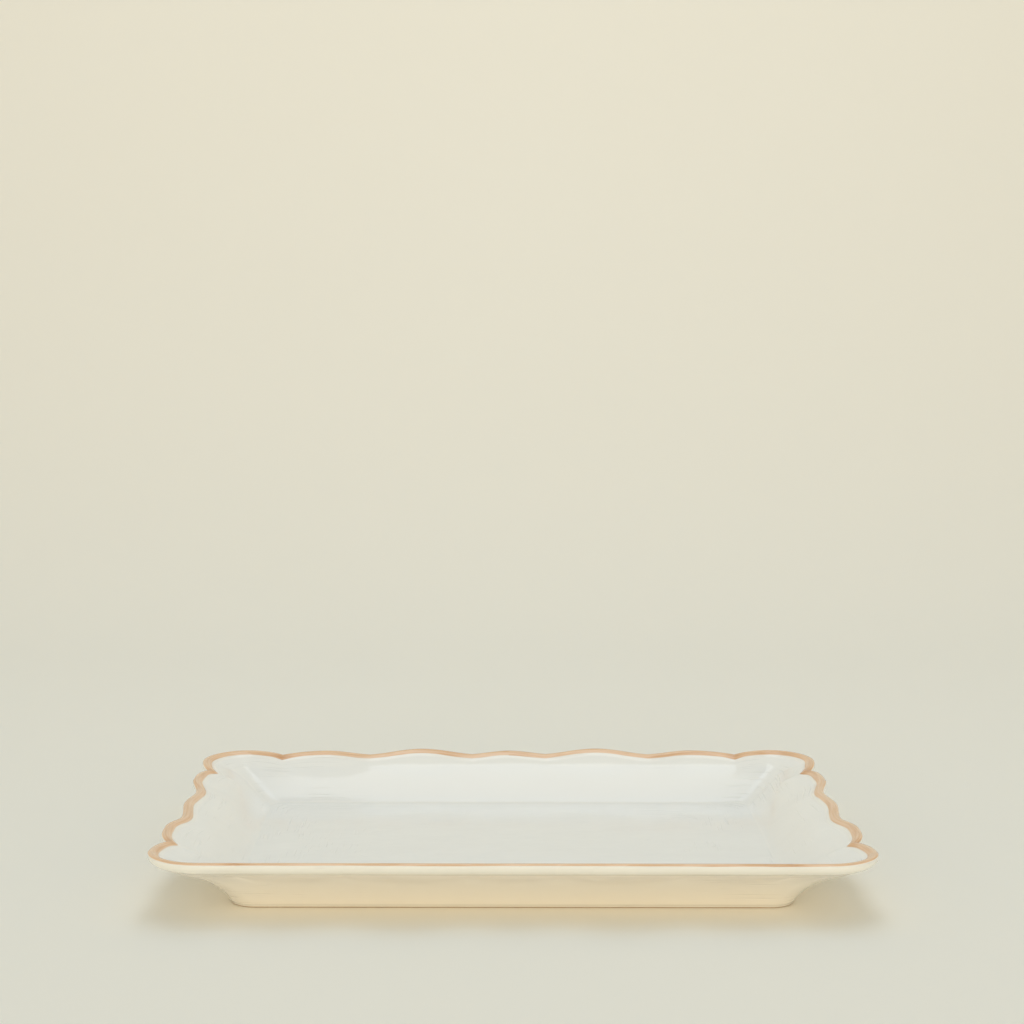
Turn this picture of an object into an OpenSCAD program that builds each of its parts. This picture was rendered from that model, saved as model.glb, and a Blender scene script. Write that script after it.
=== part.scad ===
// A rectangular china serving platter with a scalloped, painted lip.
// The origin is the middle of the standing face: +X runs along the long side, +Z is up.
// All sizes are millimetres. A profile point is [inset from the lip's edge, height above the crest,
// least corner radius of the ring that it sweeps].

/* [Size] */
// Length over the corner lobes
platter_l = 360; // [300:2:420]
// Width over the corner lobes
platter_w = 260; // [220:2:300]
// Height from the standing face to the lip's crest
platter_h = 32.8; // [29:0.2:40]
// Corner radius of the plain outline that the lobes stand on
outline_r = 22; // [20:1:30]

/* [Scallops] */
// Where the middle lobe of a long side ends, from the side's middle
long_dip_1 = 22; // [16:1:28]
// Where the wide lobe ends
long_dip_2 = 82.5; // [76:0.5:90]
// Where the narrow lobe ends, at the notch beside the corner
long_notch = 134.5; // [128:0.5:141]
// Where the middle lobe of a short side ends, from the side's middle
short_dip = 27.5; // [20:0.5:34]
// Where the outer lobe of a short side ends, at the notch beside the corner
short_notch = 80.5; // [74:0.5:87]
// Height of the middle lobe of a long side
lobe_middle = 4; // [1:0.1:5]
// Height of the wide lobe
lobe_wide = 6.8; // [2:0.1:7]
// Height of the narrow lobe
lobe_narrow = 4.8; // [2:0.1:6]
// Height of the corner lobe
lobe_corner = 6; // [3:0.1:8]
// Height of the outer lobe of a short side
lobe_side = 4.8; // [3:0.1:6]
// Height of the middle lobe of a short side
lobe_end = 2.4; // [1:0.1:5]
// How far the lip sinks for each millimetre that the outline is cut back
lip_sink = 0.28; // [0:0.01:0.5]

/* [Section] */
// Half width of the rounded lip outside its crest
lip_out = 2.0; // [1.5:0.1:2.5]
// Drop from the crest to the widest line of the lip
lip_drop = 1.6; // [1.2:0.1:2.2]
// Inset at which the lip has run out into the flange
lip_in = 7.6; // [6.5:0.1:9]
// Drop of the flange at that inset
flange_drop = 3.1; // [2.6:0.1:3.6]
// Slope of the flange beside the lip
flange_slope = 0.33; // [0.25:0.01:0.4]
// Depth of the well floor below the crest
well_depth = 23.2; // [20:0.2:24]
// Inset at which the well floor begins
well_inset = 40; // [38:0.5:42]
// Corner radius of the well, before the lobes are added
well_r = 4; // [2.5:0.5:8]
// Inset of the foot
foot_inset = 35.5; // [33.5:0.5:37.5]

/* [Foot and coats] */
// Height of the bare foot ring
foot_h = 1.2; // [0.8:0.1:2]
// Height of the recess inside the foot
recess_h = 4.4; // [2.6:0.2:5]
// Width of the foot ring's standing face
foot_w = 4.5; // [3:0.5:7]
// Corner radius of the foot
foot_r = 9; // [6:1:16]
// Thickness of the glaze
glaze_t = 0.35; // [0.25:0.05:0.5]
// Thickness of the painted band
band_t = 0.15; // [0.1:0.05:0.2]

/* [Hidden] */

// The plain outline and the plain foot
base_x = platter_l / 2 - lobe_corner;
base_y = platter_w / 2 - lobe_corner;
run_x = base_x - outline_r;
run_y = base_y - outline_r;
arc_len = outline_r * PI / 2;
path_len = run_x + arc_len + run_y;
mean_lobe = 3.5;
foot_x = base_x + mean_lobe - foot_inset;
foot_y = base_y + mean_lobe - foot_inset;
foot_corner = foot_r + mean_lobe;
foot_facets = 64;
// Keeps the flat glaze in the recess clear of the clay round it
fit_gap = 0.1;

// Dips between the lobes along one quarter of the outline, from the middle of a long side
dips = [-long_dip_1, long_dip_1, long_dip_2, long_notch,
        path_len - short_notch, path_len - short_dip, path_len + short_dip];
lobe_h = [lobe_middle, lobe_wide, lobe_narrow, lobe_corner, lobe_side, lobe_end];
high_lobe = max(lobe_h);
// Sharpness of each dip: 1 is a pointed notch, 0 a smooth wave
dip_sharp = [0.4, 0.4, 0.3, 1, 1, 0, 0];
// Fullness of each lobe: 2 is a plain arc, more is flatter with steeper ends
lobe_full = [2, 2, 2, 3.4, 3.6, 2];
lobe_steps = [3, 6, 5, 9, 5, 3];

// Insets between which the scallops fade into the smooth well and wall
fade_start = 8;
fade_end = 25;

function mix(a, b, t) = a + (b - a) * t;
function smooth(t) = let (u = min(1, max(0, t))) u * u * (3 - 2 * u);
function bezier(p, t) = pow(1 - t, 3) * p[0] + 3 * t * pow(1 - t, 2) * p[1]
    + 3 * t * t * (1 - t) * p[2] + pow(t, 3) * p[3];

// Height of the scallops at distance s along the quarter outline
function lobe_at(s) = max([for (i = [0:5]) if (s >= dips[i]) i]);
function scallop(s) =
    let (i = lobe_at(s),
         middle = (dips[i] + dips[i + 1]) / 2,
         reach = (dips[i + 1] - dips[i]) / 2,
         t = min(1, abs(s - middle) / reach),
         k = s < middle ? dip_sharp[i] : dip_sharp[i + 1])
    lobe_h[i] * (k * (1 - pow(t, lobe_full[i])) + (1 - k) * (1 + cos(180 * t)) / 2);

// One quarter's stations, then all four quarters as [distance, x side, y side]
quarter = [for (i = [0:5])
    let (from = max(0, dips[i]), to = min(path_len, dips[i + 1]))
    for (k = [0:lobe_steps[i] - 1]) mix(from, to, k / lobe_steps[i])];
turns = len(quarter);
stations = concat(
    [for (k = [0:turns - 1]) [quarter[k], 1, 1]],
    [for (k = [0:turns - 1]) [k == 0 ? path_len : quarter[turns - k], 1, -1]],
    [for (k = [0:turns - 1]) [quarter[k], -1, -1]],
    [for (k = [0:turns - 1]) [k == 0 ? path_len : quarter[turns - k], -1, 1]]);
around = len(stations);

// A point of the ring that lies at profile point p, at one station
function ring_point(p, st) =
    let (s = st[0],
         share = 1 - smooth((p[0] - fade_start) / (fade_end - fade_start)),
         r = max(p[2], outline_r - p[0]),
         hx = base_x - p[0],
         hy = base_y - p[0],
         out = share * scallop(s) + (1 - share) * mean_lobe,
         turn = 90 * min(1, max(0, (s - run_x) / arc_len)),
         along = min(1, s / run_x),
         back = min(1, max(0, (s - run_x - arc_len) / run_y)),
         x = along * (hx - r) + (r + out) * sin(turn),
         y = (1 - back) * (hy - r) + (r + out) * cos(turn))
    [st[1] * x, st[2] * y, platter_h + p[1] - lip_sink * share * (high_lobe - scallop(s))];
function ring(p) = [for (st = stations) ring_point(p, st)];

function with_corner(p, r) = [p[0], p[1], r];

// Upper surface, from the lip's widest line over the crest and down to the well floor
function lip_top(t) = [lip_out * (1 - cos(90 * t)), lip_drop * (sin(90 * t) - 1)];
bead = [[lip_out, 0], [lip_out + 2.4, 0],
        [lip_in - 1.6, 1.6 * flange_slope - flange_drop], [lip_in, -flange_drop]];
well = [[lip_in, -flange_drop], [lip_in + 15, -flange_drop - 15 * flange_slope],
        [well_inset - 5.5, -well_depth], [well_inset, -well_depth]];
function upper(t) = with_corner(
    t <= 1 ? lip_top(t) : t <= 2 ? bezier(bead, t - 1) : bezier(well, t - 2), well_r);

// Lower surface, from the same line under the lip and down to the top of the foot ring
under_w = 7.5;
under_h = 5;
under_turn = 64;
function lip_under(t) = [under_w * (1 - cos(under_turn * t)),
                         -lip_drop - under_h * sin(under_turn * t), 0];
lip_end = lip_under(1);
foot_top = [foot_inset, foot_h - platter_h, 0];
wall = [lip_end, lip_end + [9, -2.9, 0], foot_top + [-5, 11.5, 0], foot_top];
function lower(t) = with_corner(t <= 1 ? lip_under(t) : bezier(wall, t - 1), foot_r);

upper_steps = [0, 0.45, 1, 1.35, 1.65, 2, 2.2, 2.4, 2.6, 2.8, 3];
lower_steps = [0, 0.5, 1, 1.2, 1.4, 1.6, 1.8, 2];
upper_rows = [for (t = upper_steps) upper(t)];
lower_rows = [for (t = lower_steps) lower(t)];

// The same rows moved into the wall, square to the section. The two end rows keep the lip's
// widest line, the well floor's plane and the foot's plane.
function square_to(rows, i) =
    let (d = rows[i + 1] - rows[i - 1]) [d[1], -d[0], 0] / norm(d);
function moved(rows, by, first, last) = [for (i = [0:len(rows) - 1])
    rows[i] + by * (i == 0 ? first : i == len(rows) - 1 ? last : square_to(rows, i))];
clay_upper = moved(upper_rows, glaze_t, [1, 0, 0], [0, -1, 0]);
clay_lower = moved(lower_rows, -glaze_t, [-1, 0, 0], [-1, 0, 0]);

// The clay goes on across the foot ring and up the side of the recess
recess_rows = [for (h = [foot_h, recess_h])
    [foot_inset + foot_w, h - platter_h, foot_r - foot_w]];

// The band lies on the glaze from just outside the crest to the foot of the bead
band_steps = [0.62, 1, 1.33, 1.66];
band_rows = [for (t = band_steps) upper(t)];
band_top = moved(band_rows, -band_t, [0, -1, 0], [0, -1, 0]);

function backwards(list) = [for (i = [len(list) - 1:-1:0]) list[i]];
function tail(list) = [for (i = [1:len(list) - 1]) list[i]];

// A solid skinned over rings of stations. Its two ends are closed flat, or joined to each other.
module skinned(rows, joined = false) {
    count = len(rows);
    middle = count * around;
    points = concat([for (p = rows) each ring(p)],
                    [[0, 0, ring(rows[0])[0][2]], [0, 0, ring(rows[count - 1])[0][2]]]);
    last = joined ? count - 1 : count - 2;
    sides = [for (i = [0:last]) for (k = [0:around - 1])
        let (a = i * around + k, b = i * around + (k + 1) % around,
             c = (i + 1) % count * around + (k + 1) % around, d = (i + 1) % count * around + k)
        each [[a, c, b], [a, d, c]]];
    ends = joined ? [] : [for (k = [0:around - 1])
        let (next = (k + 1) % around, base = (count - 1) * around)
        each [[middle, k, next], [middle + 1, base + next, base + k]]];
    polyhedron(points, concat(sides, ends), convexity = 6);
}

// A flat plate with round corners
module rounded_plate(hx, hy, r, height) {
    linear_extrude(height) {
        square([2 * hx, 2 * (hy - r)], center = true);
        square([2 * (hx - r), 2 * hy], center = true);
        for (x = [r - hx, hx - r], y = [r - hy, hy - r])
            translate([x, y]) circle(r, $fn = foot_facets);
    }
}

module clay_body() {
    color("#ECE7DA") skinned(concat(backwards(clay_upper), tail(clay_lower), recess_rows));
}

module foot_ring() {
    color("#D9CFBC") difference() {
        rounded_plate(foot_x, foot_y, foot_corner, foot_h);
        translate([0, 0, -1])
            rounded_plate(foot_x - foot_w, foot_y - foot_w, foot_corner - foot_w, foot_h + 2);
    }
}

module face_glaze() {
    color("#F0F0EA") skinned(concat(backwards(upper_rows), clay_upper));
}

module underside_glaze() {
    color("#EFEEE6") skinned(concat(lower_rows, backwards(clay_lower)), joined = true);
}

module recess_glaze() {
    color("#EFEEE6") translate([0, 0, recess_h - glaze_t])
        rounded_plate(foot_x - foot_w - fit_gap, foot_y - foot_w - fit_gap,
                      foot_corner - foot_w - fit_gap, glaze_t);
}

module rim_band() {
    color("#D8B28E") skinned(concat(band_rows, backwards(band_top)), joined = true);
}

clay_body();
foot_ring();
face_glaze();
underside_glaze();
recess_glaze();
rim_band();
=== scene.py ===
import math

import bpy
from mathutils import Matrix, Vector


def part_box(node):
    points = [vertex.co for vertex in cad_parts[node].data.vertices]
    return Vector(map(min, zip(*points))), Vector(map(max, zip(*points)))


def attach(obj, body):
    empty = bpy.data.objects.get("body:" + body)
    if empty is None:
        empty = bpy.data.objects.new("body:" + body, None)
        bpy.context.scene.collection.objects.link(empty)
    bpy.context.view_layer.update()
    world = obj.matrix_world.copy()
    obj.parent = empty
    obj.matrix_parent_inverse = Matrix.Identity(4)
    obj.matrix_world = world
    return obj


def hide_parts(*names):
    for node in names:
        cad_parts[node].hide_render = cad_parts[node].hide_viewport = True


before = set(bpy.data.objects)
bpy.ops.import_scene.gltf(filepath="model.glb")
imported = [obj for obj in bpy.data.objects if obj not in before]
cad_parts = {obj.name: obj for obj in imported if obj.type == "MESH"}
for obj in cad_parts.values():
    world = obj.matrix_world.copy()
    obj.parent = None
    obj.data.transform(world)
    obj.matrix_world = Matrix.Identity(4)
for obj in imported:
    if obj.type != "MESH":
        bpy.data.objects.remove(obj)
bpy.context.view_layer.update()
mm = 0.001
print("frame loaded")

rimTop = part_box("face_glaze")[1].z
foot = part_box("foot_ring")[1]
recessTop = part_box("recess_glaze")[1].z

# The scalloped outline, with the CAD part's own sizes; dips are measured from the side's middle
outline = {
    "outlineRadius": 22 * mm,
    "wellRadius": 4 * mm,
    "footRadius": 9 * mm,
    "footInset": 35.5 * mm,
    "meanLobe": 3.5 * mm,
    "boxMargin": 0.2 * mm,  # keeps the unevenness inside the designed envelope
    "longDips": (22 * mm, 82.5 * mm, 134.5 * mm),
    "shortDips": (80.5 * mm, 27.5 * mm),
    "lobeHeights": (4 * mm, 6.8 * mm, 4.8 * mm, 6 * mm, 4.8 * mm, 2.4 * mm),
    "dipSharpness": (0.4, 0.4, 0.3, 1, 1, 0, 0),  # 1 is a pointed notch, 0 a soft wave
    "lobeFullness": (2, 2, 2, 3.4, 3.6, 2),  # 2 is a plain arc, more is flatter
    "lobeSteps": (16, 34, 28, 52, 28, 16),
    "lipSink": 0.28,
    "fadeStart": 8 * mm,
    "fadeEnd": 25 * mm,
    "rippleHeight": 0.25 * mm,  # slow unevenness of the hand-finished ware
    "rippleSize": 9,
    "rippleSeed": 4.7,
    "sagDepth": 1 * mm,  # the back left corner came out of the kiln a little low
    "notchReach": 4.5 * mm,  # how far from a pointed notch the paint still gathers
}
footToBase = outline["footInset"] - outline["meanLobe"] - outline["boxMargin"]
baseX = foot.x + footToBase
baseY = foot.y + footToBase
runX = baseX - outline["outlineRadius"]
runY = baseY - outline["outlineRadius"]
arcLength = outline["outlineRadius"] * math.pi / 2
pathLength = runX + arcLength + runY


def lobeEnds():
    first, second, notch = outline["longDips"]
    shortNotch, shortDip = outline["shortDips"]
    return (-first, first, second, notch, pathLength - shortNotch,
            pathLength - shortDip, pathLength + shortDip)


# Algebra on node sockets, so that a rule reads as it would on paper
class Field:
    def __init__(self, tree, socket):
        self.tree = tree
        self.socket = socket

    def use(self, operation, *others):
        return calc(self.tree, operation, self, *others)

    def __add__(self, other):
        return self.use("ADD", other)

    def __sub__(self, other):
        return self.use("SUBTRACT", other)

    def __rsub__(self, other):
        return calc(self.tree, "SUBTRACT", other, self)

    def __mul__(self, other):
        return self.use("MULTIPLY", other)

    def __truediv__(self, other):
        return self.use("DIVIDE", other)

    __radd__ = __add__
    __rmul__ = __mul__


def feed(tree, value, socket):
    if isinstance(value, Field):
        tree.links.new(value.socket, socket)
    else:
        socket.default_value = value


def calc(tree, operation, *values):
    node = tree.nodes.new("ShaderNodeMath")
    node.operation = operation
    for value, socket in zip(values, node.inputs):
        feed(tree, value, socket)
    return Field(tree, node.outputs[0])


def limited(field):
    return field.use("MAXIMUM", 0.0).use("MINIMUM", 1.0)


def eased(field):
    u = limited(field)
    return u * u * (3.0 - 2.0 * u)


def parts(tree, socket):
    node = tree.nodes.new("ShaderNodeSeparateXYZ")
    tree.links.new(socket, node.inputs[0])
    return [Field(tree, out) for out in node.outputs]


def joined(tree, x, y, z):
    node = tree.nodes.new("ShaderNodeCombineXYZ")
    for value, socket in zip((x, y, z), node.inputs):
        feed(tree, value, socket)
    return node.outputs[0]


def noise(tree, vector, scale, detail=2.0, seed=0.0, roughness=0.5):
    node = tree.nodes.new("ShaderNodeTexNoise")
    node.noise_dimensions = "4D"
    tree.links.new(vector, node.inputs["Vector"])
    feed(tree, scale, node.inputs["Scale"])
    feed(tree, seed, node.inputs["W"])
    node.inputs["Detail"].default_value = detail
    node.inputs["Roughness"].default_value = roughness
    return Field(tree, node.outputs[0])


def newGroup(name, kind, inputs, outputs):
    tree = bpy.data.node_groups.new(name, kind)
    for label, socketType in inputs:
        tree.interface.new_socket(name=label, in_out="INPUT", socket_type=socketType)
    for label, socketType in outputs:
        tree.interface.new_socket(name=label, in_out="OUTPUT", socket_type=socketType)
    return tree, tree.nodes.new("NodeGroupInput"), tree.nodes.new("NodeGroupOutput")


# The rule of the platter's shape, as one Geometry Nodes tree
loftInputs = {
    "Base half length": baseX,
    "Base half width": baseY,
    "Outline radius": outline["outlineRadius"],
    "Mean lobe": outline["meanLobe"],
    "Crest height": rimTop,
    "Lip sink": outline["lipSink"],
    "Fade start": outline["fadeStart"],
    "Fade end": outline["fadeEnd"],
    "Ripple height": outline["rippleHeight"],
    "Ripple size": outline["rippleSize"],
    "Ripple seed": outline["rippleSeed"],
    "Sag depth": outline["sagDepth"],
}
lobeNames = ("Middle lobe", "Wide lobe", "Narrow lobe", "Corner lobe", "Side lobe", "End lobe")


def scallopField(tree, path, heights):
    ends = lobeEnds()
    total = None
    for i, height in enumerate(heights):
        middle = (ends[i] + ends[i + 1]) / 2
        reach = (ends[i + 1] - ends[i]) / 2
        here = path.use("GREATER_THAN", ends[i]) - path.use("GREATER_THAN", ends[i + 1])
        t = limited((path - middle).use("ABSOLUTE") / reach)
        before, after = outline["dipSharpness"][i:i + 2]
        sharp = before + (after - before) * path.use("GREATER_THAN", middle)
        arc = 1.0 - t.use("POWER", outline["lobeFullness"][i])
        wave = (1.0 + (t * math.pi).use("COSINE")) * 0.5
        lobe = here * height * (sharp * arc + (1.0 - sharp) * wave)
        total = lobe if total is None else total + lobe
    return total


def buildLoftTree():
    inputs = [("Geometry", "NodeSocketGeometry"), ("Material", "NodeSocketMaterial")]
    inputs += [(name, "NodeSocketFloat") for name in (*loftInputs, *lobeNames)]
    tree, entry, leave = newGroup("scallopedLoft", "GeometryNodeTree", inputs,
                                  [("Geometry", "NodeSocketGeometry")])
    given = {name: Field(tree, entry.outputs[name]) for name in (*loftInputs, *lobeNames)}

    def stored(name, kind):
        node = tree.nodes.new("GeometryNodeInputNamedAttribute")
        node.data_type = kind
        node.inputs["Name"].default_value = name
        return node.outputs["Attribute"]

    path = Field(tree, stored("path", "FLOAT"))
    sideX, sideY, _ = parts(tree, stored("side", "FLOAT_VECTOR"))
    inset, height, corner = parts(tree, stored("section", "FLOAT_VECTOR"))
    heights = [given[name] for name in lobeNames]
    highest = heights[0]
    for other in heights[1:]:
        highest = highest.use("MAXIMUM", other)
    scallop = scallopField(tree, path, heights)

    fade = given["Fade end"] - given["Fade start"]
    share = 1.0 - eased((inset - given["Fade start"]) / fade)
    radius = corner.use("MAXIMUM", given["Outline radius"] - inset)
    out = share * scallop + (1.0 - share) * given["Mean lobe"]
    runLong = given["Base half length"] - given["Outline radius"]
    runShort = given["Base half width"] - given["Outline radius"]
    arc = given["Outline radius"] * (math.pi / 2)
    turn = limited((path - runLong) / arc) * (math.pi / 2)
    along = limited(path / runLong)
    back = limited((path - runLong - arc) / runShort)
    x = along * (given["Base half length"] - inset - radius) + (radius + out) * turn.use("SINE")
    y = (1.0 - back) * (given["Base half width"] - inset - radius) + (radius + out) * turn.use("COSINE")
    z = given["Crest height"] + height - given["Lip sink"] * share * (highest - scallop)

    flat = joined(tree, sideX * x, sideY * y, 0.0)
    ripple = noise(tree, flat, given["Ripple size"], detail=1.0, seed=given["Ripple seed"])
    left = limited(sideX * x / given["Base half length"] * -1.0)
    rear = limited(sideY * y / given["Base half width"])
    drop = given["Ripple height"] * ripple + given["Sag depth"] * left * rear
    z = z - drop * limited(z / given["Crest height"])

    place = tree.nodes.new("GeometryNodeSetPosition")
    tree.links.new(entry.outputs["Geometry"], place.inputs["Geometry"])
    tree.links.new(joined(tree, sideX * x, sideY * y, z), place.inputs["Position"])
    real = tree.nodes.new("GeometryNodeRealizeInstances")
    tree.links.new(place.outputs[0], real.inputs[0])
    coat = tree.nodes.new("GeometryNodeSetMaterial")
    tree.links.new(real.outputs[0], coat.inputs["Geometry"])
    tree.links.new(entry.outputs["Material"], coat.inputs["Material"])
    tree.links.new(coat.outputs[0], leave.inputs[0])
    return tree


# The section: a point is (inset from the lip's edge, height above the crest), and each
# row that is swept from one also holds the least corner radius it may take
section = {
    "lipOut": 2 * mm,
    "lipDrop": 1.6 * mm,
    "beadPull": 2.4 * mm,
    "shoulderPull": 1.6 * mm,
    "lipIn": 7.6 * mm,
    "flangeDrop": 3.1 * mm,
    "flangeSlope": 0.33,
    "flangePull": 15 * mm,
    "wellDepth": 23.2 * mm,
    "wellInset": 40 * mm,
    "wellPull": 5.5 * mm,
    "underWidth": 7.5 * mm,
    "underHeight": 5 * mm,
    "underTurn": math.radians(64),
    "underPull": (9 * mm, -2.9 * mm),
    "footPull": (-5 * mm, 11.5 * mm),
    "footHeight": foot.z,
    "recessHeight": recessTop,
    "recessCove": 1.8 * mm,
    "footWidth": 4.5 * mm,
    "glaze": 0.35 * mm,
    "paint": 0.1 * mm,
    "paintEdge": 0.015 * mm,
    "floorMiddle": 112 * mm,  # inset of the last ring before the platter's middle
}


def span(count, first=0.0, last=1.0):
    return [first + (last - first) * k / count for k in range(count + 1)]


def bezier(points, t):
    a, b, c, d = points
    u = 1 - t
    return a * u ** 3 + b * (3 * t * u ** 2) + c * (3 * t * t * u) + d * t ** 3


def upperPoint(t):
    s = section
    if t <= 1:
        angle = t * math.pi / 2
        return Vector((s["lipOut"] * (1 - math.cos(angle)), s["lipDrop"] * (math.sin(angle) - 1)))
    crest = Vector((s["lipOut"], 0))
    shoulder = Vector((s["lipIn"], -s["flangeDrop"]))
    if t <= 2:
        lead = Vector((s["shoulderPull"], -s["shoulderPull"] * s["flangeSlope"]))
        return bezier((crest, crest + Vector((s["beadPull"], 0)), shoulder - lead, shoulder), t - 1)
    start = shoulder + Vector((s["flangePull"], -s["flangePull"] * s["flangeSlope"]))
    floor = Vector((s["wellInset"], -s["wellDepth"]))
    return bezier((shoulder, start, floor - Vector((s["wellPull"], 0)), floor), t - 2)


def lowerPoint(t):
    s = section
    angle = min(t, 1) * s["underTurn"]
    under = Vector((s["underWidth"] * (1 - math.cos(angle)),
                    -s["lipDrop"] - s["underHeight"] * math.sin(angle)))
    if t <= 1:
        return under
    top = Vector((outline["footInset"], s["footHeight"] - rimTop))
    return bezier((under, under + Vector(s["underPull"]), top + Vector(s["footPull"]), top), t - 1)


def cornered(points, radius):
    return [Vector((point[0], point[1], radius)) for point in points]


def floorRows(count, height):
    insets = span(count, section["wellInset"], section["floorMiddle"])[1:]
    return cornered([(inset, height) for inset in insets], outline["wellRadius"])


def square(rows, i):
    step = rows[min(i + 1, len(rows) - 1)] - rows[max(i - 1, 0)]
    return Vector((step.y, -step.x, 0)).normalized()


def moved(rows, by, first, last):
    ends = {0: Vector(first), len(rows) - 1: Vector(last)}
    return [row + ends.get(i, square(rows, i)) * by for i, row in enumerate(rows)]


def bends(rows):
    found = []  # how fast the section turns at each row: above 0 in a hollow, below 0 on an edge
    for i, row in enumerate(rows):
        one = (row - rows[max(i - 1, 0)]).to_2d()
        two = (rows[min(i + 1, len(rows) - 1)] - row).to_2d()
        reach = (one.length + two.length) / 2
        still = one.length * two.length == 0
        found.append(0 if still else -one.angle_signed(two) / reach * mm)
    return found


def stationList():
    ends = lobeEnds()
    quarter = []
    for i, count in enumerate(outline["lobeSteps"]):
        first, last = max(0.0, ends[i]), min(pathLength, ends[i + 1])
        quarter += span(count, first, last)[:-1]
    back = [pathLength] + quarter[:0:-1]
    walk = [(s, 1, 1, s) for s in quarter]
    walk += [(s, 1, -1, 2 * pathLength - s) for s in back]
    walk += [(s, -1, -1, 2 * pathLength + s) for s in quarter]
    walk += [(s, -1, 1, 4 * pathLength - s) for s in back]
    return walk


stations = stationList()


def notchShare(s):
    sharp = [end for end, k in zip(lobeEnds(), outline["dipSharpness"]) if k == 1]
    nearest = min(abs(s - end) for end in sharp)
    return math.exp(-(nearest / outline["notchReach"]) ** 2)


def skinMesh(name, rows, closed=False, across=None):
    around, count = len(stations), len(rows)
    across = across or [sum((rows[k + 1] - rows[k]).length for k in range(i)) for i in range(count)]
    bend = bends(rows)
    strips = count if closed else count - 1
    faces, uvs = [], []
    for i in range(strips):
        j = (i + 1) % count
        for k in range(around):
            n = (k + 1) % around
            faces.append((i * around + k, j * around + k, j * around + n, i * around + n))
            near = stations[k][3]
            far = stations[n][3] if n else 4 * pathLength
            uvs += [(near, across[i]), (near, across[j]), (far, across[j]), (far, across[i])]
    points = [(s, sx, sy, row.x, row.y, bend[i], row.z) for i, row in enumerate(rows)
              for s, sx, sy, _ in stations]
    if not closed:
        middle, last = count * around, (count - 1) * around
        points += [(0, 0, 0, row.x, row.y, 0, row.z) for row in (rows[0], rows[-1])]
        for k in range(around):
            n = (k + 1) % around
            faces += [(middle, k, n), (middle + 1, last + n, last + k)]
            uvs += [(stations[k][3], across[0])] * 3 + [(stations[k][3], across[-1])] * 3
    mesh = bpy.data.meshes.new(name)
    mesh.from_pydata([(p[0], p[3], p[4]) for p in points], [], faces)
    columns = {
        "path": ("FLOAT", "value", [p[0] for p in points]),
        "side": ("FLOAT_VECTOR", "vector", [v for p in points for v in (p[1], p[2], 0)]),
        "section": ("FLOAT_VECTOR", "vector", [v for p in points for v in (p[3], p[4], p[6])]),
        "hollow": ("FLOAT", "value", [p[5] for p in points]),
        "notch": ("FLOAT", "value", [notchShare(p[0]) for p in points]),
    }
    for label, (kind, key, values) in columns.items():
        mesh.attributes.new(label, kind, "POINT").data.foreach_set(key, values)
    layer = mesh.uv_layers.new(name="alongAndAcross")
    layer.data.foreach_set("uv", [v for uv in uvs for v in uv])
    return mesh


loftTree = buildLoftTree()
print("loft tree built with", len(loftTree.nodes), "nodes")


def loft(name, rows, material, closed=False, across=None, sharpAngle=70):
    blank = bpy.data.objects.new(name + "Blank", skinMesh(name + "Blank", rows, closed, across))
    bpy.context.scene.collection.objects.link(blank)
    modifier = blank.modifiers.new("loft", "NODES")
    modifier.node_group = loftTree
    values = {**loftInputs, **dict(zip(lobeNames, outline["lobeHeights"])), "Material": material}
    for item in loftTree.interface.items_tree:
        if item.in_out == "INPUT" and item.name in values:
            modifier[item.identifier] = values[item.name]
    graph = bpy.context.evaluated_depsgraph_get()
    mesh = bpy.data.meshes.new_from_object(blank.evaluated_get(graph))
    bpy.data.objects.remove(blank)
    for label in ("path", "side", "section"):
        mesh.attributes.remove(mesh.attributes[label])
    mesh.shade_smooth()
    mesh.set_sharp_from_angle(angle=math.radians(sharpAngle))
    piece = bpy.data.objects.new(name, mesh)
    mesh.name = name
    bpy.context.scene.collection.objects.link(piece)
    print("made", name, len(mesh.vertices), "points")
    return piece


# Shader groups that the finishes share
def shaderGroup(name, inputs, outputs):
    return newGroup(name, "ShaderNodeTree", inputs, outputs)


def objectPlace(tree):
    return tree.nodes.new("ShaderNodeTexCoord").outputs["Object"]


waves = {
    "slowSize": 26.0,
    "middleSize": 95.0,
    "middleShare": 0.16,
    "fineSize": 900.0,
    "pitSize": 130.0,
    "pitSharpness": 22.0,
    "rareSize": 41.0,
    "rareAbove": 0.62,  # only where this noise is higher is there a pit
    "seeds": {"slow": 1.3, "middle": 2.9, "fine": 6.1, "rare": 8.8},
}


def buildSurfaceWaves():
    seeds = waves["seeds"]
    tree, entry, leave = shaderGroup(
        "glazeWaves",
        [("Slow", "NodeSocketFloat"), ("Fine", "NodeSocketFloat"), ("Pits", "NodeSocketFloat")],
        [("Height", "NodeSocketFloat")])
    place = objectPlace(tree)
    slow = noise(tree, place, waves["slowSize"], detail=1.0, seed=seeds["slow"])
    middle = noise(tree, place, waves["middleSize"], detail=1.0, seed=seeds["middle"])
    fine = noise(tree, place, waves["fineSize"], detail=2.0, seed=seeds["fine"])
    pit = tree.nodes.new("ShaderNodeTexVoronoi")
    pit.inputs["Scale"].default_value = waves["pitSize"]
    tree.links.new(place, pit.inputs["Vector"])
    near = eased(1.0 - Field(tree, pit.outputs["Distance"]) * waves["pitSharpness"])
    rare = noise(tree, place, waves["rareSize"], detail=0.0, seed=seeds["rare"])
    rare = rare.use("GREATER_THAN", waves["rareAbove"])
    height = (slow + middle * waves["middleShare"]) * Field(tree, entry.outputs["Slow"])
    height = height + fine * Field(tree, entry.outputs["Fine"])
    height = height - near * rare * Field(tree, entry.outputs["Pits"])
    tree.links.new(height.socket, leave.inputs["Height"])
    return tree


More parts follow.
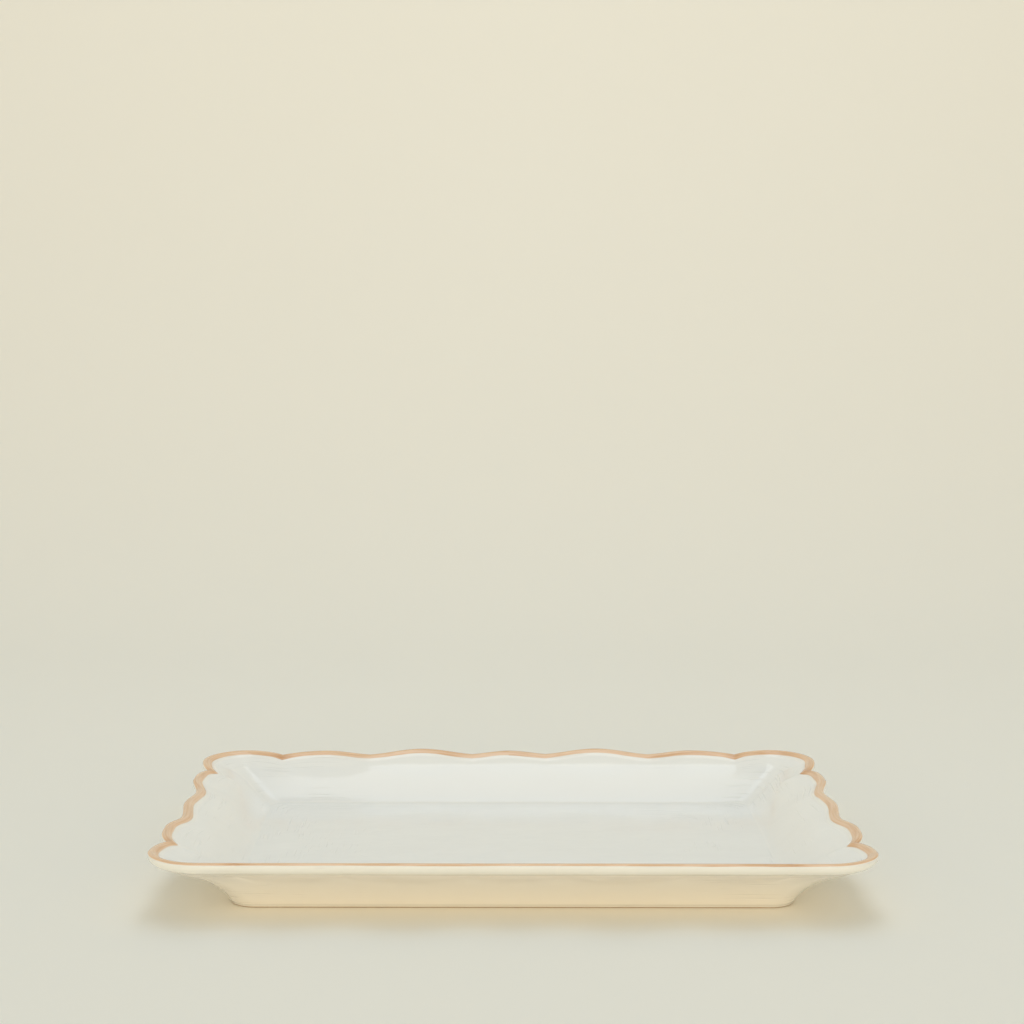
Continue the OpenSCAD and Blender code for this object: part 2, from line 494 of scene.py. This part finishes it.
pool = {
    "cloudSize": 14.0,
    "cloudSeed": 3.3,
    "hollowGain": 9.0,  # how strongly glaze gathers in hollows
    "edgeGain": -2.2,  # and how strongly it thins over edges
    "hollowCloud": 0.5,
    "edgeCloud": 0.25,
}


def buildGlazeTone():
    tree, entry, leave = shaderGroup(
        "glazeTone",
        [("Glaze", "NodeSocketColor"), ("Pooled", "NodeSocketColor"), ("Thin", "NodeSocketColor")],
        [("Color", "NodeSocketColor"), ("Pooling", "NodeSocketFloat")])
    attribute = tree.nodes.new("ShaderNodeAttribute")
    attribute.attribute_name = "hollow"
    hollow = Field(tree, attribute.outputs["Fac"])
    place = objectPlace(tree)
    cloud = noise(tree, place, pool["cloudSize"], detail=3.0, seed=pool["cloudSeed"])
    pooling = limited(hollow * pool["hollowGain"] + (cloud - 0.5) * pool["hollowCloud"])
    thinning = limited(hollow * pool["edgeGain"] + (cloud - 0.5) * pool["edgeCloud"])
    first = mixColor(tree, pooling, entry.outputs["Glaze"], entry.outputs["Pooled"])
    second = mixColor(tree, thinning, first, entry.outputs["Thin"])
    tree.links.new(second, leave.inputs["Color"])
    tree.links.new(pooling.socket, leave.inputs["Pooling"])
    return tree


def mixColor(tree, share, first, second):
    node = tree.nodes.new("ShaderNodeMix")
    node.data_type = "RGBA"
    feed(tree, share, node.inputs["Factor"])
    for value, socket in ((first, node.inputs[6]), (second, node.inputs[7])):
        if isinstance(value, bpy.types.NodeSocket):
            tree.links.new(value, socket)
        else:
            socket.default_value = value
    return node.outputs[2]


def placeGroup(tree, group, **values):
    node = tree.nodes.new("ShaderNodeGroup")
    node.node_tree = group
    for label, value in values.items():
        node.inputs[label].default_value = value
    return node


def newFinish(name, **fixed):
    material = bpy.data.materials.new(name)
    material.use_nodes = True
    tree = material.node_tree
    shader = next(n for n in tree.nodes if n.type == "BSDF_PRINCIPLED")
    for label, value in fixed.items():
        shader.inputs[label].default_value = value
    return material, tree, shader


def bumped(tree, shader, height, distance):
    node = tree.nodes.new("ShaderNodeBump")
    node.inputs["Distance"].default_value = distance
    tree.links.new(height, node.inputs["Height"])
    tree.links.new(node.outputs["Normal"], shader.inputs["Normal"])


wavesGroup = buildSurfaceWaves()
toneGroup = buildGlazeTone()

glaze = {
    "color": (0.950, 0.925, 0.870, 1),
    "pooled": (0.925, 0.915, 0.865, 1),
    "thin": (0.965, 0.925, 0.855, 1),
    "roughness": 0.07,
    "roughnessSpread": 0.05,
    "cloudSize": 55.0,
    "cloudSeed": 5.5,
    "fineWaves": 0.004,
    "pits": 0.03,
    "waveDistance": 0.5 * mm,
    "streakSize": (22.0, 700.0),
    "streakDistance": 0.14 * mm,
    "streakStart": 62 * mm,
    "streakFade": 50 * mm,
    "streakSeed": 9.1,
    "patchSize": 30.0,
    "patchSeed": 7.7,
    "patchAbove": 0.42,
    "patchGain": 6.0,
    "ridgeAbove": 0.56,
    "ridgeGain": 9.0,
}


def glazeFinish():
    material, tree, shader = newFinish("whiteGlaze", IOR=1.5)
    tone = placeGroup(tree, toneGroup, Glaze=glaze["color"], Pooled=glaze["pooled"], Thin=glaze["thin"])
    tree.links.new(tone.outputs["Color"], shader.inputs["Base Color"])
    cloud = noise(tree, objectPlace(tree), glaze["cloudSize"], detail=3.0, seed=glaze["cloudSeed"])
    rough = glaze["roughness"] + cloud * glaze["roughnessSpread"]
    tree.links.new(rough.socket, shader.inputs["Roughness"])
    surface = placeGroup(tree, wavesGroup, Slow=1.0, Fine=glaze["fineWaves"], Pits=glaze["pits"])
    height = Field(tree, surface.outputs["Height"]) + castingStreaks(tree)
    bumped(tree, shader, height.socket, glaze["waveDistance"])
    return material


def castingStreaks(tree):
    # Faint lines parallel to the lip, left by the former, strongest towards the ends
    u, v, _ = parts(tree, tree.nodes.new("ShaderNodeUVMap").outputs["UV"])
    along, across = glaze["streakSize"]
    stretched = joined(tree, u * along, v * across, 0.0)
    lines = noise(tree, stretched, 1.0, detail=2.0, seed=glaze["streakSeed"])
    x, _, _ = parts(tree, objectPlace(tree))
    ends = eased((x.use("ABSOLUTE") - glaze["streakStart"]) / glaze["streakFade"])
    spots = noise(tree, objectPlace(tree), glaze["patchSize"], detail=1.0, seed=glaze["patchSeed"])
    patch = eased((spots - glaze["patchAbove"]) * glaze["patchGain"])
    ridges = eased((lines - glaze["ridgeAbove"]) * glaze["ridgeGain"])
    return ridges * ends * patch * (glaze["streakDistance"] / glaze["waveDistance"])


paint = {
    "color": (0.875, 0.580, 0.360, 1),
    "deep": (0.660, 0.350, 0.175, 1),
    "roughness": 0.12,
    "strokeSize": (38.0, 7.0),
    "strokeSeed": 2.2,
    "loadSize": 34.0,
    "loadSeed": 4.4,
    "edgeWidth": 0.08,
    "edgeWander": 0.08,
    "margin": 0.05,
    "thinnest": 0.78,  # how well the paint covers where the brush ran dry
    "strokeCover": 0.36,
    "notchCover": 0.2,
    "notchReach": 0.08,
    "rimGain": 9.0,
    "depthOf": {"load": 0.9, "strokes": 2.0, "rim": 0.5, "notch": 0.5},
    "loadMiddle": 0.4,
    "strokeMiddle": 0.48,
    "strokeRoughness": 0.03,
    "strokeRelief": 0.05,
    "fineWaves": 0.01,
}


def paintFinish():
    material, tree, shader = newFinish("blushRimPaint", IOR=1.5)
    u, v, _ = parts(tree, tree.nodes.new("ShaderNodeUVMap").outputs["UV"])
    along, across = paint["strokeSize"]
    stretched = joined(tree, u * along, v * across, 0.0)
    bristles = noise(tree, stretched, 1.0, detail=3.0, seed=paint["strokeSeed"])
    load = noise(tree, objectPlace(tree), paint["loadSize"], detail=2.0, seed=paint["loadSeed"])
    attribute = tree.nodes.new("ShaderNodeAttribute")
    attribute.attribute_name = "notch"
    notch = Field(tree, attribute.outputs["Fac"])
    wander = (load - 0.5) * (2 * paint["edgeWander"]) + (bristles - 0.5) * paint["edgeWander"]
    outer = eased((v - paint["margin"] + wander) / paint["edgeWidth"])
    inside = 1.0 - paint["margin"] - v + wander + notch * paint["notchReach"]
    inner = eased(inside / paint["edgeWidth"])
    laid = paint["thinnest"] + bristles * paint["strokeCover"] + notch * paint["notchCover"]
    cover = outer * inner * limited(laid)
    rim = 1.0 - eased((v * (1.0 - v)) * paint["rimGain"])
    depthOf = paint["depthOf"]
    depth = (load - paint["loadMiddle"]) * depthOf["load"]
    depth = depth + (bristles - paint["strokeMiddle"]) * depthOf["strokes"]
    depth = limited(depth + rim * depthOf["rim"] + notch * depthOf["notch"])
    tone = placeGroup(tree, toneGroup, Glaze=glaze["color"], Pooled=glaze["pooled"], Thin=glaze["thin"])
    stain = mixColor(tree, depth, paint["color"], paint["deep"])
    tree.links.new(mixColor(tree, cover, tone.outputs["Color"], stain), shader.inputs["Base Color"])
    rough = glaze["roughness"] + cover * (paint["roughness"] - glaze["roughness"])
    rough = rough + bristles * paint["strokeRoughness"]
    tree.links.new(rough.socket, shader.inputs["Roughness"])
    surface = placeGroup(tree, wavesGroup, Slow=1.0, Fine=paint["fineWaves"], Pits=0.0)
    height = Field(tree, surface.outputs["Height"]) + cover * bristles * paint["strokeRelief"]
    bumped(tree, shader, height.socket, glaze["waveDistance"])
    return material


bare = {
    "color": (0.66, 0.50, 0.34, 1),
    "deep": (0.50, 0.34, 0.20, 1),
    "top": 0.35 * mm,  # the glaze starts about this high on the foot
    "topWander": 0.3 * mm,
    "topFade": 0.25 * mm,
    "grainSize": 1400.0,
    "grainSeed": 1.9,
    "wearSize": 60.0,
    "wearSeed": 6.6,
    "grainShare": 0.7,
    "wearShare": 0.5,
    "roughness": 0.85,
    "glazedSmoother": 0.76,
    "grainRelief": 0.4,
    "slowWaves": 0.3,
    "fineWaves": 0.01,
    "reliefDistance": 0.2 * mm,
}


def footFinish():
    material, tree, shader = newFinish("bareStandingFace", IOR=1.5)
    place = objectPlace(tree)
    _, _, z = parts(tree, place)
    grain = noise(tree, place, bare["grainSize"], detail=4.0, seed=bare["grainSeed"], roughness=0.7)
    worn = noise(tree, place, bare["wearSize"], detail=3.0, seed=bare["wearSeed"])
    glazed = eased((z - bare["top"] + (worn - 0.5) * bare["topWander"]) / bare["topFade"])
    tone = placeGroup(tree, toneGroup, Glaze=glaze["color"], Pooled=glaze["pooled"], Thin=glaze["thin"])
    dark = limited(grain * bare["grainShare"] + worn * bare["wearShare"])
    clayColor = mixColor(tree, dark, bare["color"], bare["deep"])
    tree.links.new(mixColor(tree, glazed, clayColor, tone.outputs["Color"]), shader.inputs["Base Color"])
    rough = bare["roughness"] - glazed * bare["glazedSmoother"]
    tree.links.new(rough.socket, shader.inputs["Roughness"])
    surface = placeGroup(tree, wavesGroup, Slow=bare["slowWaves"], Fine=bare["fineWaves"], Pits=0.0)
    height = Field(tree, surface.outputs["Height"]) + grain * (1.0 - glazed) * bare["grainRelief"]
    bumped(tree, shader, height.socket, bare["reliefDistance"])
    return material


clay = {
    "color": (0.78, 0.73, 0.63, 1),
    "deep": (0.70, 0.64, 0.53, 1),
    "grainSize": 1100.0,
    "grainSeed": 3.1,
    "patchSize": 45.0,
    "patchSeed": 5.2,
    "grainShare": 0.6,
    "patchShare": 0.5,
    "roughness": 0.7,
    "roughnessSpread": 0.2,
    "reliefDistance": 0.1 * mm,
}


def clayFinish():
    material, tree, shader = newFinish("firedClay", IOR=1.5)
    place = objectPlace(tree)
    grain = noise(tree, place, clay["grainSize"], detail=4.0, seed=clay["grainSeed"], roughness=0.7)
    patch = noise(tree, place, clay["patchSize"], detail=3.0, seed=clay["patchSeed"])
    dark = limited(grain * clay["grainShare"] + patch * clay["patchShare"])
    tree.links.new(mixColor(tree, dark, clay["color"], clay["deep"]), shader.inputs["Base Color"])
    rough = clay["roughness"] + grain * clay["roughnessSpread"]
    tree.links.new(rough.socket, shader.inputs["Roughness"])
    bumped(tree, shader, grain.socket, clay["reliefDistance"])
    return material


steps = {"lip": 10, "bead": 16, "well": 30, "under": 10, "wall": 30, "floor": 9, "thin": 3,
         "recess": 4, "ring": 12, "coat": 8}
upperSteps = span(steps["lip"]) + span(steps["bead"], 1, 2)[1:] + span(steps["well"], 2, 3)[1:]
lowerSteps = span(steps["under"]) + span(steps["wall"], 1, 2)[1:]
upper = cornered([upperPoint(t) for t in upperSteps], outline["wellRadius"])
lower = cornered([lowerPoint(t) for t in lowerSteps], outline["footRadius"])
glazeIn = moved(upper, section["glaze"], (1, 0, 0), (0, -1, 0))
glazeUnder = moved(lower, -section["glaze"], (-1, 0, 0), (-1, 0, 0))
floorHeight = -section["wellDepth"]
recessEdge = outline["footInset"] + section["footWidth"]
recessRadius = outline["footRadius"] - section["footWidth"]


def thinned(rows, every=2):
    return rows[:1] + rows[1:-1][::every] + rows[-1:]


whiteGlaze = glazeFinish()
rimPaint = paintFinish()
bareFoot = footFinish()
firedClay = clayFinish()
print("finishes built")

faceOut = upper + floorRows(steps["floor"], floorHeight)
faceIn = thinned(glazeIn) + floorRows(steps["thin"], floorHeight - section["glaze"])
faceGlaze = loft("faceGlaze", faceOut[::-1] + faceIn, whiteGlaze)

undersideGlaze = loft("undersideGlaze", lower + thinned(glazeUnder)[::-1], whiteGlaze, closed=True)

standing = [(recessEdge, section["footHeight"] - rimTop)]
standing += [(inset, section["recessHeight"] - rimTop)
             for inset in span(steps["recess"], recessEdge, section["floorMiddle"])]
clayUnder = thinned(glazeUnder)[1:] + cornered(standing, recessRadius)
clayBody = loft("clayBody", faceIn[::-1] + clayUnder, firedClay)


def arcPoints(centreX, centreZ, reach, first, last, count=8):
    return [(centreX + reach * math.cos(math.radians(a)), centreZ + reach * math.sin(math.radians(a)))
            for a in span(count, first, last)]


ring = {
    "sidePull": (0.35 * mm, 0.4 * mm),  # from the top of the side, and above the floor
    "facePull": 0.7 * mm,
    "faceStart": 1.3 * mm,
    "innerRadius": 0.6 * mm,
}


def footRows():
    inset, width, high = outline["footInset"], section["footWidth"], section["footHeight"]
    inner = ring["innerRadius"]
    pullIn, pullUp = ring["sidePull"]
    turn = [Vector((inset, high)), Vector((inset + pullIn, pullUp)),
            Vector((inset + ring["facePull"], 0)), Vector((inset + ring["faceStart"], 0))]
    out = [bezier(turn, t) for t in span(steps["ring"])]
    back = [*arcPoints(inset + width - inner, inner, inner, -90, 0), (inset + width, high)]
    return (cornered([(x, z - rimTop) for x, z in out], outline["footRadius"])
            + cornered([(x, z - rimTop) for x, z in back], recessRadius))


footRing = loft("footRing", footRows(), bareFoot, closed=True)


def recessRows():
    high, low, thin = section["recessHeight"], section["footHeight"], section["glaze"]
    cove, middle = section["recessCove"], section["floorMiddle"]
    line = [(x, high) for x in span(steps["recess"], middle, recessEdge)]
    line += [(recessEdge, low), (recessEdge + thin, low)]
    line += arcPoints(recessEdge + thin + cove, high - thin - cove, cove, 180, 90)
    line += [(x, high - thin) for x in span(steps["coat"], recessEdge + thin + cove, middle)[1:]]
    return cornered([(x, z - rimTop) for x, z in line], recessRadius)


recessGlaze = loft("recessGlaze", recessRows(), whiteGlaze)


band = {
    "first": 0.26,  # where along the lip the band starts: 1 is the crest, 2 the end of the bead
    "last": 1.72,
    "steps": 24,
    "swell": 5,  # how quickly the paint rises from its edges
    "sunk": 0.05 * mm,
}


def bandSections():
    shares = span(band["steps"])
    base = [upperPoint(t) for t in span(band["steps"], band["first"], band["last"])]
    base = cornered(base, outline["wellRadius"])
    rise = [section["paintEdge"] + (section["paint"] - section["paintEdge"])
            * min(1, band["swell"] * share * (1 - share)) for share in shares]
    top = [row - square(base, i) * rise[i] for i, row in enumerate(base)]
    sunk = [row + square(base, i) * band["sunk"] for i, row in enumerate(base)]
    return top + sunk[::-1], shares + shares[::-1]


bandRows, bandAcross = bandSections()
rimBand = loft("rimBand", bandRows, rimPaint, closed=True, across=bandAcross)

cast = [
    (clayBody, "clay_body", "clay"),
    (footRing, "foot_ring", "bare_foot"),
    (faceGlaze, "face_glaze", "white_glaze"),
    (undersideGlaze, "underside_glaze", "white_glaze"),
    (recessGlaze, "recess_glaze", "white_glaze"),
    (rimBand, "rim_band", "rim_paint"),
]
for piece, node, slotName in cast:
    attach(piece, "root")
    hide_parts(node)
print("pieces in place")

studio = {
    # floor and wall are one paper; their two colours are painted light: warmer on the floor, paler and
    # cooler up the wall
    "floorColor": (0.97, 0.92, 0.815, 1),
    "wallColor": (0.96, 0.945, 0.89, 1),
    "paperDarker": 0.97,
    "paperCloud": 0.5,
    "paperCloudSize": 2.0,
    "paperCloudSeed": 1.1,
    "paperRoughness": 0.85,
    "sweepSteps": 24,
    "wallStart": 0.05,
    "wallEnd": 1.0,
    "floorBack": 0.62,
    "sweepRadius": 1.1,
    "wallTop": 3.2,
    "halfWidth": 9.0,
    "floorFront": -9.0,
    "nearBox": ((0.016, -0.28, 1.5), (0.627, 1.24)),
    "farBox": ((0.078, 0.67, 1.5), (0.503, 0.66)),
    "boxGlow": 1.36,
    "boxColor": (0.89, 0.985, 1.08),
    "fillPlace": (0.0, -2.4, 0.55),
    "fillSize": (3.6, 0.9),
    "fillPower": 14.0,
    "fillColor": (1.0, 0.82, 0.56),
    "fillAim": (0.0, 0.0, 0.02),
    "washPlace": (0.0, 0.2, 3.0),
    "washAim": (0.0, 1.72, 0.9),
    "washSize": (3.2, 0.8),
    "washPower": 3.5,
    "washColor": (0.93, 0.97, 1.0),
    "skyHigh": (0.36, 0.435, 0.49, 1),
    "skyLow": (1.34, 1.12, 0.74, 1),
    "skyLowReach": 0.6,
    "airSeen": (0.74, 0.73, 0.64, 1),
    "skyStrength": 1.0,
}


def buildSweep():
    s = studio
    line = [(s["floorFront"], 0), (s["floorBack"], 0)]
    for t in span(s["sweepSteps"])[1:]:
        angle = t * math.pi / 2
        line.append((s["floorBack"] + s["sweepRadius"] * math.sin(angle),
                     s["sweepRadius"] * (1 - math.cos(angle))))
    line.append((s["floorBack"] + s["sweepRadius"], s["wallTop"]))
    points = [(side * s["halfWidth"], y, z) for y, z in line for side in (-1, 1)]
    faces = [(2 * i, 2 * i + 1, 2 * i + 3, 2 * i + 2) for i in range(len(line) - 1)]
    mesh = bpy.data.meshes.new("paperSweep")
    mesh.from_pydata(points, [], faces)
    mesh.shade_smooth()
    sweep = bpy.data.objects.new("paperSweep", mesh)
    bpy.context.scene.collection.objects.link(sweep)
    material, tree, shader = newFinish("creamPaper", Roughness=s["paperRoughness"])
    cloud = noise(tree, objectPlace(tree), s["paperCloudSize"], detail=3.0, seed=s["paperCloudSeed"])
    _, _, z = parts(tree, objectPlace(tree))
    # painted light: the one paper blends from its warmer floor colour to a paler, cooler colour up the
    # wall
    paintedLightUpWall = eased((z - s["wallStart"]) / (s["wallEnd"] - s["wallStart"]))
    paperWithPaintedLight = mixColor(tree, paintedLightUpWall, s["floorColor"], s["wallColor"])
    darker = tuple(c * s["paperDarker"] for c in s["floorColor"][:3]) + (1,)
    paper = mixColor(tree, cloud * s["paperCloud"], paperWithPaintedLight, darker)
    tree.links.new(paper, shader.inputs["Base Color"])
    mesh.materials.append(material)
    return sweep


def areaLight(name, place, size, power, color, aim=None):
    light = bpy.data.lights.new(name, "AREA")
    light.shape = "RECTANGLE"
    light.size, light.size_y = size
    light.energy = power
    light.color = color
    lamp = bpy.data.objects.new(name, light)
    bpy.context.scene.collection.objects.link(lamp)
    lamp.visible_camera = False
    way = Vector(aim) - Vector(place) if aim else Vector((0, 0, -1))
    lamp.matrix_world = Matrix.Translation(place) @ way.to_track_quat("-Z", "Y").to_matrix().to_4x4()
    return lamp


def buildSky():
    world = bpy.data.worlds.new("studioAir")
    world.use_nodes = True
    tree = world.node_tree
    shader = next(n for n in tree.nodes if n.type == "BACKGROUND")
    _, _, z = parts(tree, tree.nodes.new("ShaderNodeTexCoord").outputs["Generated"])
    air = mixColor(tree, eased(z / studio["skyLowReach"]), studio["skyLow"], studio["skyHigh"])
    seen = Field(tree, tree.nodes.new("ShaderNodeLightPath").outputs["Is Camera Ray"])
    tree.links.new(mixColor(tree, seen, air, studio["airSeen"]), shader.inputs["Color"])
    shader.inputs["Strength"].default_value = studio["skyStrength"]
    bpy.context.scene.world = world


buildSweep()
for name in ("nearBox", "farBox"):
    boxPlace, boxSize = studio[name]
    boxPower = studio["boxGlow"] * math.pi * boxSize[0] * boxSize[1]
    areaLight(name, boxPlace, boxSize, boxPower, studio["boxColor"])
areaLight("frontFill", studio["fillPlace"], studio["fillSize"], studio["fillPower"],
          studio["fillColor"], aim=studio["fillAim"])
wash = areaLight("wallWash", studio["washPlace"], studio["washSize"], studio["washPower"],
                 studio["washColor"], aim=studio["washAim"])
wash.visible_glossy = False  # it lights the paper only, and isn't mirrored in the glaze
buildSky()
bpy.context.scene.view_settings.view_transform = "Standard"

view = {
    "place": (-0.0147, -1.1286, 0.3071),
    "down": 0.1045,
    "turn": -0.0127,
    "roll": 0.0049,
    "lens": 75.06,
    "sensor": 36,
    "farthest": 50,
}
cameraData = bpy.data.cameras.new("camera")
cameraData.lens = view["lens"]
cameraData.sensor_width = view["sensor"]
cameraData.clip_end = view["farthest"]
camera = bpy.data.objects.new("camera", cameraData)
bpy.context.scene.collection.objects.link(camera)
camera.matrix_world = (Matrix.Translation(view["place"]) @ Matrix.Rotation(view["turn"], 4, "Z")
                       @ Matrix.Rotation(math.pi / 2 - view["down"], 4, "X")
                       @ Matrix.Rotation(view["roll"], 4, "Z"))
bpy.context.scene.camera = camera
print("studio set")
